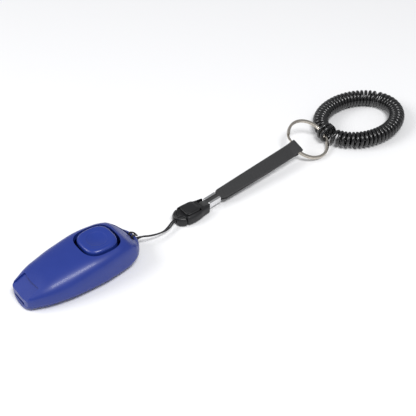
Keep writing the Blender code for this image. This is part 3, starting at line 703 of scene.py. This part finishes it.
def case_body(inset=0.0):
    """The closed outer form, with the mouth's edges rounded over."""
    rings = [case_section(MOUTH_X, inset + 1.5), case_section(MOUTH_X, inset + 0.8, 0.12),
             case_section(MOUTH_X, inset + 0.35, 0.45), case_section(MOUTH_X, inset + 0.08, 0.9)]
    x = MOUTH_X + 1.6
    while x < 28.0:
        rings.append(case_section(x, inset))
        x += 1.25
    while x < TAIL_X - 0.1:
        rings.append(case_section(x, inset))
        x += 0.45
    rings.append(case_section(TAIL_X, inset))
    return skin(rings)


def case_hollow():
    x, rings = -21.5, []
    while x <= 27.0:
        rings.append(case_section(x, WALL))
        x += 2.4
    return skin(rings)


def open_box(low, high):
    return 'DIFFERENCE', box(low, high)


def cut_below(z):
    return open_box((-60, -40, -20), (60, 40, z))


def cut_above(z):
    return open_box((-60, -40, z), (60, 40, 60))


# %% Openings of the upper shell
BUTTON_X = 12.8
BUTTON_POWER = 2.9
WELL_HALF = 11.75
RECESS_Z, RECESS_TILT = 7.6, 24.5
SLOT_HALF, SLOT_HEIGHT = 5.0, 1.5
EYE_CENTRE_X = 24.0
EYE_RADII, EYE_ANGLES = (8.9, 11.0), (-24.0, 62.0)


def lanyard_slot():
    """The curved slot that leaves a bar at the end of the case for the cord."""
    inner, outer = EYE_RADII
    middle, half = (inner + outer) / 2, (outer - inner) / 2
    start, end = (math.radians(a) for a in EYE_ANGLES)
    def around(radius, a):
        return EYE_CENTRE_X + radius * math.cos(a), radius * math.sin(a)
    def cap(a, turn):
        x, y = around(middle, a)
        return x + half * math.cos(turn), y + half * math.sin(turn)
    outline = [around(outer, start + (end - start) * k / 32) for k in range(33)]
    outline += [cap(end, end + math.pi * k / 10) for k in range(1, 10)]
    outline += [around(inner, end + (start - end) * k / 32) for k in range(33)]
    outline += [cap(start, start + math.pi + math.pi * k / 10) for k in range(1, 10)]
    return prism(outline, -5.0, 32.0)


def lip_recess():
    """The flat that lets the lips close on the mouthpiece, with its low rear wall."""
    near = [(-45.0, -9.8), (-34.0, -8.0), (-27.9, -7.7), (-27.45, -7.55), (-27.15, -7.2), (-27.1, -6.8),
            (-27.3, -5.0), (-27.6, -2.5)]
    outline = near + [(-27.7, 0.0)] + [(x, -y) for x, y in reversed(near)]
    recess = prism(outline, 0.0, 20.0)
    mouth = Matrix.Translation((MOUTH_X * MM, 0.0, 0.0))
    tilt = Matrix.Rotation(-math.radians(RECESS_TILT), 4, 'Y')
    lift = Matrix.Translation((0.0, 0.0, RECESS_Z * MM))
    bmesh.ops.transform(recess, verts=recess.verts, matrix=lift @ mouth @ tilt @ mouth.inverted())
    return recess


# %% Upper shell
COLLAR_WALL, COLLAR_LOW, COLLAR_HIGH = 1.4, 15.6, 30.0
collar_outline = rounded_square(WELL_HALF + COLLAR_WALL, BUTTON_POWER, 80, (BUTTON_X, 0.0))
collar = publish("collar", prism(collar_outline, COLLAR_LOW, COLLAR_HIGH), BLUE, None)
carve(collar, [('INTERSECT', case_body(0.12))])
collar_form = bmesh.new()
collar_form.from_mesh(collar.data)
bpy.data.objects.remove(collar, do_unlink=True)

upper = publish("case_top", case_body(), BLUE, "case")
carve(upper, [
    ('DIFFERENCE', case_hollow()),
    ('UNION', collar_form),
    open_box((-42, -SLOT_HALF, -2), (-30, SLOT_HALF, PARTING_Z + GAP + SLOT_HEIGHT)),
    open_box((-34.9, -SLOT_HALF, -2), (-20, SLOT_HALF, 7.0)),
    cut_below(PARTING_Z + GAP),
    ('DIFFERENCE', prism(rounded_square(WELL_HALF, BUTTON_POWER, 80, (BUTTON_X, 0.0)), 12.0, 32.0)),
    ('DIFFERENCE', lanyard_slot()),
    ('DIFFERENCE', lip_recess()),
])
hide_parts("upper_shell")
print("upper shell has %d faces" % len(upper.data.polygons))

# %% [markdown]
# The lower shell is the tray that the case lies on: flat underneath, with the whistle's sounding window
# through it and three sunk seats for the screws.

# %% Lower shell
lower = publish("case_tray", case_body(), BLUE, "case")
SCREW_SPOTS = ((-16.5, 0.0), (25.4, 7.6), (25.4, -7.6))
SHANK_RADIUS, HEAD_RADIUS, SEAT_Z = 1.3, 2.3, 1.6
tray_cuts = [
    cut_above(PARTING_Z),
    cut_below(0.0),
    open_box((29.2, -40, -20), (60, 40, 60)),
    open_box((-21.5, -10.5, 1.6), (19.5, 10.5, 9.0)),
    open_box((-27.2, -SLOT_HALF, -3), (-24.4, SLOT_HALF, 9)),
    ('UNION', cylinder(3.4, (-16.5, 0.0, 1.0), (-16.5, 0.0, PARTING_Z))),
]
for x, y in SCREW_SPOTS:
    tray_cuts.append(('DIFFERENCE', cylinder(SHANK_RADIUS, (x, y, -2), (x, y, 8))))
    tray_cuts.append(('DIFFERENCE', cylinder(HEAD_RADIUS, (x, y, -2), (x, y, SEAT_Z))))
carve(lower, tray_cuts)
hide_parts("lower_shell")
print("lower shell has %d faces" % len(lower.data.polygons))

# %% [markdown]
# ## The button
# A thumb-sized cap, a rounded square that turns rounder towards the dish in its top.  Each ring of the
# skin has its own size, height and squareness, so the rolled rim and the dish come from one short
# table.

# %% Button
BUTTON_HALF = 10.0
BUTTON_TOP = 20.2
STOP_Z = 14.1
DISH_DEPTH, DISH_STEPS = 1.35, 40
BEAD_HEIGHT, BEAD_AT, BEAD_WIDTH = 0.16, 0.26, 0.06     # the raised line round the dish
RIM_WIDTH, RIM_HEIGHT, RIM_STEPS = 1.9, 1.5, 12
cap_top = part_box("click_button")[1].z / MM

cap_rings = [rounded_square(BUTTON_HALF, BUTTON_POWER, 96, (BUTTON_X, 0.0)) for _ in range(2)]
cap_levels = [STOP_Z, cap_top - RIM_HEIGHT]
for k in range(1, RIM_STEPS + 1):
    roll = math.pi / 2 * k / RIM_STEPS
    half = BUTTON_HALF - RIM_WIDTH * (1 - math.cos(roll))
    cap_rings.append(rounded_square(half, BUTTON_POWER - 0.3 * k / RIM_STEPS, 96, (BUTTON_X, 0.0)))
    cap_levels.append(cap_top - RIM_HEIGHT * (1 - math.sin(roll)))
for k in range(1, DISH_STEPS):
    share = k / DISH_STEPS
    half = (BUTTON_HALF - RIM_WIDTH) * (1 - share)
    cap_rings.append(rounded_square(half, 2.6 - 0.6 * min(1.0, share * 2.5), 96, (BUTTON_X, 0.0)))
    bead = BEAD_HEIGHT * math.exp(-((share - BEAD_AT) / BEAD_WIDTH) ** 2)
    cap_levels.append(cap_top - DISH_DEPTH * (1 - (1 - share) ** 2) ** 1.5 + bead)
cap = skin([[(x, y, z) for x, y in ring] for ring, z in zip(cap_rings, cap_levels)])
button = publish("thumb_button", cap, BUTTON_BLUE, "button")
carve(button, [
    ('UNION', cylinder(2.2, (BUTTON_X, 0, 10.3), (BUTTON_X, 0, STOP_Z + 0.6))),
    ('UNION', box((BUTTON_X - 4, -12.6, STOP_Z + 0.02), (BUTTON_X + 4, 12.6, STOP_Z + 1.1))),
    open_box((BUTTON_X - 6, 2.9, 10), (BUTTON_X + 6, 6.6, BUTTON_TOP - 2.7)),
    open_box((BUTTON_X - 6, -6.6, 10), (BUTTON_X + 6, -2.9, BUTTON_TOP - 2.7)),
])
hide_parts("click_button")
print("button top at %.1f mm" % cap_top)

# %% [markdown]
# ## The clicking leaf
# The click comes from a dished leaf of spring steel, clamped at its root, that the button's stem pushes
# over centre.  It is one piece, skinned along its length as a thin dished strip with a low arch.

# %% Clicking leaf
CLAMP_X = -3.0
LEAF_LENGTH, LEAF_HALF, LEAF_THICKNESS, LEAF_Z = 24.0, 4.0, 0.35, 8.6
leaf_rings = []
for k in range(41):
    share = k / 40
    x = CLAMP_X - 3.0 + LEAF_LENGTH * share
    z = LEAF_Z - 1.0 + 0.9 * math.sin(math.pi * share)
    dish = 0.35 * min(1.0, max(0.0, (x - CLAMP_X - 2.5) / 3.0))
    line = [(LEAF_HALF * a, dish * (1 - a * a)) for a in (-1 + i / 4 for i in range(9))]
    leaf_rings.append([(x, y, z + lift) for y, lift in line]
                      + [(x, y, z + lift + LEAF_THICKNESS) for y, lift in reversed(line)])
leaf = publish("click_leaf", skin(leaf_rings), SPRING_STEEL, None)
carve(leaf, [('DIFFERENCE', cylinder(1.25, (CLAMP_X, 0, 4), (CLAMP_X, 0, 12)))])
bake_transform(leaf)
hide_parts("click_blade")
print("leaf has %d faces" % len(leaf.data.polygons))

# %% [markdown]
# ## The release clip
# A small two-part buckle in black acetal.  The front half carries a tongue whose raised square pad
# covers the back half's window.  Ribs slant across the nose and run straight across the back, and one
# side is notched for the fingers.

# %% Clip body
CLIP_X = (66.4, 89.2)
CLIP_Y = 1.9
CLIP_HEIGHT = 6.4
CLIP_SPLIT_X = 71.6
bar = Vector(JOINTS["strap_swing"]["pos_m"]) / MM
CLIP_STATIONS = ((66.4, 2.6), (67.4, 4.1), (69.4, 5.6), (73.0, 6.7), (77.0, 6.9), (81.0, 6.4), (84.0, 5.5),
                 (87.0, 5.0), (88.4, 4.8), (89.2, 4.5))


def clip_body(start, end, height, rounding, shoulder):
    """A length of the clip: rounded-box sections along its waisted outline, leaning in towards the top."""
    rings = []
    steps = 26
    for k in range(steps + 1):
        x = start + (end - start) * k / steps
        near_end = min(x - start, end - x)
        inset = rounding * max(0.0, 1 - near_end / 0.9) ** 2
        half = smooth_value(CLIP_STATIONS, x, 1) - inset
        middle, rise = height / 2, height / 2 - inset * 0.7
        ring = []
        for y, z in rounded_square(1.0, 5.0, 88):
            lean = shoulder * max(0.0, z - 0.1) ** 1.5
            groove = 0.38 * math.exp(-((z + 0.12) / 0.10) ** 2) if abs(y) > 0.9 else 0.0
            ring.append((x, CLIP_Y + (half - lean - groove) * y, middle + rise * z))
        rings.append(ring)
    return skin(rings)


# %% Clip halves
SHOULDER = 1.1                  # how far the sides lean in towards the top
front_form = clip_body(CLIP_X[0], CLIP_SPLIT_X - GAP / 2, CLIP_HEIGHT - 0.6, 0.9, SHOULDER)
plug = publish("clip_front", front_form, ACETAL, "lanyard")
pad_steps = [(2.2, 4.5, 77.6), (6.46, 4.5, 77.6), (6.47, 4.82, 77.3), (6.75, 4.86, 77.3), (6.95, 4.6, 77.3),
             (6.98, 4.2, 77.3), (6.8, 3.95, 77.3), (6.86, 3.7, 77.3), (7.15, 3.5, 77.3), (7.22, 3.1, 77.3),
             (7.16, 1.5, 77.3)]     # height, half width and middle of each ring, from the tongue to the pad
pad = skin([[(x, y, z) for x, y in rounded_square(half, 5.0, 64, (middle, CLIP_Y))]
            for z, half, middle in pad_steps])
knot_x, knot_y = 69.4, CLIP_Y - 0.2
front_steps = [
    ('UNION', pad),
    ('UNION', box((70.0, CLIP_Y - 4.52, 2.45), (76.0, CLIP_Y + 4.52, CLIP_HEIGHT - 0.9))),
    ('DIFFERENCE', cylinder(1.9, (knot_x, knot_y, -1), (knot_x, knot_y, 4.85))),
    open_box((60, CLIP_Y - 1.8, 2.1), (knot_x, CLIP_Y + 1.4, 4.3)),
]
carve(plug, front_steps)
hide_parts("clip_plug")

back_form = clip_body(CLIP_SPLIT_X + GAP / 2, CLIP_X[1], CLIP_HEIGHT, 0.6, SHOULDER)
socket = publish("clip_back", back_form, ACETAL, "buckle")
back_steps = [
    open_box((60, CLIP_Y - 4.85, 1.8), (82.5, CLIP_Y + 4.85, 20)),
    open_box((84.2, CLIP_Y - 3.5, -2), (95, CLIP_Y + 3.5, 20)),
    ('UNION', cylinder(0.9, (bar.x, CLIP_Y - 4.1, bar.z), (bar.x, CLIP_Y + 4.1, bar.z), 24)),
]
NOTCH_SPOTS, NOTCH_RADIUS, NOTCH_OUT = (73.6, 75.4, 77.2, 79.0, 80.8), 0.75, 0.30
for x in NOTCH_SPOTS:
    edge = smooth_value(CLIP_STATIONS, x, 1) + NOTCH_OUT
    notch = cylinder(NOTCH_RADIUS, (x, CLIP_Y + edge, -1), (x, CLIP_Y + edge, 8), 24)
    back_steps.append(('DIFFERENCE', notch))
carve(socket, back_steps)
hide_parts("clip_socket")
print("clip faces:", len(plug.data.polygons), len(socket.data.polygons))

# %% [markdown]
# The clip's ribs repeat at an even pitch, so one rounded rib is drawn and a Geometry Nodes row sets out
# the rest.  Its inputs are the count and the step from one rib to the next.

# %% Rib row tree
def row_tree(look):
    tree = bpy.data.node_groups.new("row_of_ribs", 'GeometryNodeTree')
    tree.is_modifier = True
    tree.interface.new_socket("Geometry", in_out='INPUT', socket_type='NodeSocketGeometry')
    count = tree.interface.new_socket("Count", in_out='INPUT', socket_type='NodeSocketInt')
    pitch = tree.interface.new_socket("Step", in_out='INPUT', socket_type='NodeSocketVector')
    tree.interface.new_socket("Geometry", in_out='OUTPUT', socket_type='NodeSocketGeometry')
    given = tree.nodes.new("NodeGroupInput")
    row = tree.nodes.new("GeometryNodeMeshLine")
    setting = tree.nodes.new("GeometryNodeInstanceOnPoints")
    real = tree.nodes.new("GeometryNodeRealizeInstances")
    paint = tree.nodes.new("GeometryNodeSetMaterial")
    result = tree.nodes.new("NodeGroupOutput")
    paint.inputs["Material"].default_value = look.material
    for start, end in ((given.outputs["Count"], row.inputs["Count"]),
                       (given.outputs["Step"], row.inputs["Offset"]),
                       (row.outputs["Mesh"], setting.inputs["Points"]),
                       (given.outputs["Geometry"], setting.inputs["Instance"]),
                       (setting.outputs["Instances"], real.inputs["Geometry"]),
                       (real.outputs["Geometry"], paint.inputs["Geometry"]),
                       (paint.outputs["Geometry"], result.inputs["Geometry"])):
        tree.links.new(start, end)
    return tree, count.identifier, pitch.identifier


def rib(middle, half_length, radius, way):
    """A rod with rounded ends, drawn in by its own closing rings."""
    way = Vector(way).normalized()
    side = way.orthogonal().normalized()
    other = way.cross(side)
    rings = []
    for k in range(9):
        turn = math.pi * k / 8 - math.pi / 2
        reach = radius * max(0.08, math.cos(turn))
        end = (k > 4) - (k < 4)
        at = Vector(middle) + way * (end * (half_length - radius) + radius * math.sin(turn))
        rings.append([at + (side * math.cos(a) + other * math.sin(a)) * reach
                      for a in (2 * math.pi * i / 12 for i in range(12))])
    return skin(rings)


# %% Clip ribs
tree, count_input, pitch_input = row_tree(ACETAL)
cross_ribs = grown("clip_cross_ribs", rib((82.62, CLIP_Y, CLIP_HEIGHT - 0.06), 3.9, 0.32, (0, 1, 0)), tree,
                   {count_input: 2, pitch_input: (0.95 * MM, 0.0, -0.05 * MM)}, ACETAL, "buckle")
vee = rib((69.9, CLIP_Y - 2.3, CLIP_HEIGHT - 0.55), 2.7, 0.42, (0.62, -1.0, -0.05))
other = rib((69.9, CLIP_Y + 2.3, CLIP_HEIGHT - 0.55), 2.7, 0.42, (0.62, 1.0, -0.05))
half_mesh = bpy.data.meshes.new("half_vee")
other.to_mesh(half_mesh)
other.free()
vee.from_mesh(half_mesh)
nose_ribs = grown("clip_nose_ribs", vee, tree,
                  {count_input: 2, pitch_input: (-1.25 * MM, 0.0, -0.10 * MM)}, ACETAL, "lanyard")
print("ribs have %d and %d faces" % (len(cross_ribs.data.polygons), len(nose_ribs.data.polygons)))

# %% [markdown]
# ## The strap
# One length of narrow webbing goes round the clip's bar, is gathered in the crimp, runs out flat in two
# layers and folds round the split ring.  It is skinned as a belt that closes on itself, with a firm
# crowned edge, and its map carries the weave along it.

# %% Strap frame
STRAP_GATHERED = 4.6
STRAP_THICKNESS = 0.8
CRIMP_X = (89.7, 98.4)
SPREAD_RUN = 2.5                # how soon past the crimp the strap lies at its full width
RING_EYE = 2.1
eye = Vector(JOINTS["ring_swing"]["pos_m"]) / MM
wire_way = Vector(JOINTS["ring_swing"]["axis"])
ring_low, ring_high = (Vector(c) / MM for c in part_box("split_ring"))
ring_centre = (ring_low + ring_high) / 2
outward_way = (ring_centre - eye).normalized()
run = (eye - bar).length


def strap_frame(s):
    """The strap's centre, width way and thickness way, from the clip's bar (0) to the ring (1)."""
    lead_in = (eye - bar).normalized()
    lead_out = (outward_way + lead_in).normalized()
    ease = s * s * (3 - 2 * s)
    centre = (bar * (1 + 2 * s) * (1 - s) ** 2 + lead_in * run * s * (1 - s) ** 2
              + eye * s * s * (3 - 2 * s) + lead_out * run * s * s * (s - 1))
    along = lead_in.lerp(outward_way, ease ** 3).normalized()
    width = Vector((0.0, 1.0, 0.0)).lerp(-wire_way, ease)
    width = (width - along * width.dot(along)).normalized()
    return centre, width, along.cross(width).normalized()


def strap_half_width(s):
    x = bar.x + s * run
    spread = min(1.0, max(0.0, (x - CRIMP_X[1] - 0.3) / SPREAD_RUN)) ** 0.5
    return (STRAP_GATHERED + (STRAP_WIDTH - STRAP_GATHERED) * spread) / 2


print("strap runs %.1f mm from bar to ring" % run)

# %% Strap belt
def belt_profile():
    """The belt seen from its edge: along the strap and up from its middle."""
    t = STRAP_THICKNESS
    apart = 0.25 + t / 2
    bar_fold, ring_fold = 1.2 + t / 2, RING_EYE + t / 2
    points = [(bar_fold * math.cos(a), bar_fold * math.sin(a))
              for a in (math.radians(90 + 180 * k / 20) for k in range(21))]
    points.append((1.9, -apart - 0.2))
    points += [(3.2 + (run - 8.4) * k / 70, -apart) for k in range(71)]
    points += [(run - 4.3, -apart - 0.35), (run - 3.2, -apart - 0.9)]
    points += [(run + ring_fold * math.cos(a), ring_fold * math.sin(a))
               for a in (math.radians(-112 + 224 * k / 28) for k in range(29))]
    points += [(run - 3.2, apart + 0.9), (run - 4.3, apart + 0.35)]
    points += [(run - 5.2 - (run - 8.4) * k / 70, apart) for k in range(71)]
    points.append((1.9, apart + 0.2))
    return points


def belt_section():
    """The webbing's own section: across from -1 to 1, and thickness from -1 to 1, crowned at the edges."""
    across = [-1 + 2 * k / 14 for k in range(15)]
    under = [(a, -1 + 0.45 * abs(a) ** 8) for a in across]
    return under + [(a, 1 - 0.45 * abs(a) ** 8) for a in reversed(across)]


def build_strap():
    profile, section = belt_profile(), belt_section()
    around = [(a + 1) / 2 * STRAP_WIDTH for a, _ in section]
    around.append(around[0])
    rings = []
    for i, (u, v) in enumerate(profile):
        before, after = profile[i - 1], profile[(i + 1) % len(profile)]
        tangent = Vector((after[0] - before[0], after[1] - before[1])).normalized()
        normal = Vector((-tangent.y, tangent.x))
        ring = []
        for across, layer in section:
            a = u + normal.x * STRAP_THICKNESS / 2 * layer
            b = v + normal.y * STRAP_THICKNESS / 2 * layer
            s = min(1.0, max(0.0, a / run))
            centre, width, thick = strap_frame(s)
            ring.append(centre + width.cross(thick).normalized() * (a - s * run)
                        + width * across * strap_half_width(s) + thick * b)
        rings.append(ring)
    return publish("webbing_strap", skin(rings, closed=True, around=around), WEB_BLACK, "strap_loop", 60.0)


strap = build_strap()
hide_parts("strap")
print("strap has %d faces" % len(strap.data.polygons))

# %% [markdown]
# ## The split ring
# Two turns of flattened spring wire lie on each other.  Each end is cut square and sits in the crook
# where the wire steps from the lower turn to the upper one, which is where a finger nail opens it.

# %% Split ring
RING_RADIUS = 13.9
RING_WIRE = (0.86, 1.05)
RING_START = 150.0
STEP_SPAN = 26.0                # degrees over which the wire steps up, and the gap between its ends
normal_way = wire_way.cross(outward_way).normalized()
if normal_way.z < 0:
    normal_way = -normal_way
side_way = normal_way.cross(outward_way).normalized()


def ring_level(turned):
    """Height of the wire's middle above the ring's plane, in wire heights, after so many degrees."""
    half = RING_WIRE[1] / 2
    t = min(1.0, max(0.0, (turned - 360.0 + STEP_SPAN / 2) / STEP_SPAN))
    return -half + 2 * half * t * t * (3 - 2 * t)


def build_ring():
    rings = []
    span = 720.0 - STEP_SPAN
    steps = 240
    for k in range(steps + 1):
        turned = STEP_SPAN / 2 + span * k / steps
        angle = math.radians(RING_START + turned)
        out = outward_way * math.cos(angle) + side_way * math.sin(angle)
        middle = ring_centre + out * RING_RADIUS + normal_way * ring_level(turned)
        radial, axial = RING_WIRE[0], RING_WIRE[1] / 2 - 0.015
        section = rounded_square(1.0, 3.2, 20)
        rings.append([middle + out * radial * a + normal_way * axial * b for a, b in section])
    return publish("key_ring", skin(rings), NICKEL, "ring", 50.0)


key_ring = build_ring()
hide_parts("split_ring")
print("ring centre", [round(c, 1) for c in ring_centre])

# %% [markdown]
# ## What keeps its shape
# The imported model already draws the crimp, the screws, the leaf's clamp, the cord's knot and the
# whistle's inner pieces well enough, so their shapes stay, and they only take a better finish.

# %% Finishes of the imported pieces
CARRIED = {
    "strap_crimp": CRIMP_STEEL,
    "blade_clamp": ACETAL,
    "clamp_screw": SCREW_STEEL,
    "case_screw_1": SCREW_STEEL,
    "case_screw_2": SCREW_STEEL,
    "case_screw_3": SCREW_STEEL,
    "whistle_block": WHITE,
    "whistle_plug": BLUE,
    "cord_knot": CORD_BLACK,
}
for node, look in CARRIED.items():
    for slot in frame["nodes"][node].material_slots:
        slot.material = look.material
print("refinished:", ", ".join(CARRIED))

# %% [markdown]
# ## Floor and light
# A plain white floor, a soft light high on the near side that draws the highlight on the near flank, a
# larger one on the left that carries the shadows to the right, and a bright even surround.

# %% Floor
floor_mesh = bpy.data.meshes.new("floor")
FLOOR_HALF, FLOOR_Z = 4.0, -0.0003
corners = [(x * FLOOR_HALF, y * FLOOR_HALF, FLOOR_Z) for x, y in ((-1, -1), (1, -1), (1, 1), (-1, 1))]
floor_mesh.from_pydata(corners, [], [(0, 1, 2, 3)])
floor = bpy.data.objects.new("floor", floor_mesh)
bpy.context.scene.collection.objects.link(floor)
paper = Look("studio_paper")
paper.set(base_color=(0.93, 0.93, 0.94), roughness=0.9)
floor_mesh.materials.append(paper.material)

# %% Lights
def soft_light(name, place, aim, size, power):
    data = bpy.data.lights.new(name, 'AREA')
    data.shape = 'RECTANGLE'
    data.size, data.size_y = size
    data.energy = power
    lamp = bpy.data.objects.new(name, data)
    lamp.location = place
    lamp.rotation_euler = (Vector(aim) - Vector(place)).to_track_quat('-Z', 'Y').to_euler()
    bpy.context.scene.collection.objects.link(lamp)


MIDDLE = (0.09, 0.0, 0.0)
soft_light("overhead", (-0.04, -0.54, 1.06), (0.03, 0.0, 0.0), (0.46, 0.34), 9.5)
soft_light("left", (-0.95, 0.50, 0.90), MIDDLE, (0.8, 0.6), 9.0)

world = bpy.data.worlds.new("surround")
world.use_nodes = True
world.node_tree.nodes["Background"].inputs["Color"].default_value = (0.97, 0.98, 1.0, 1.0)
world.node_tree.nodes["Background"].inputs["Strength"].default_value = 0.36
bpy.context.scene.world = world
bpy.context.scene.view_settings.view_transform = 'Standard'
print("two soft lights")
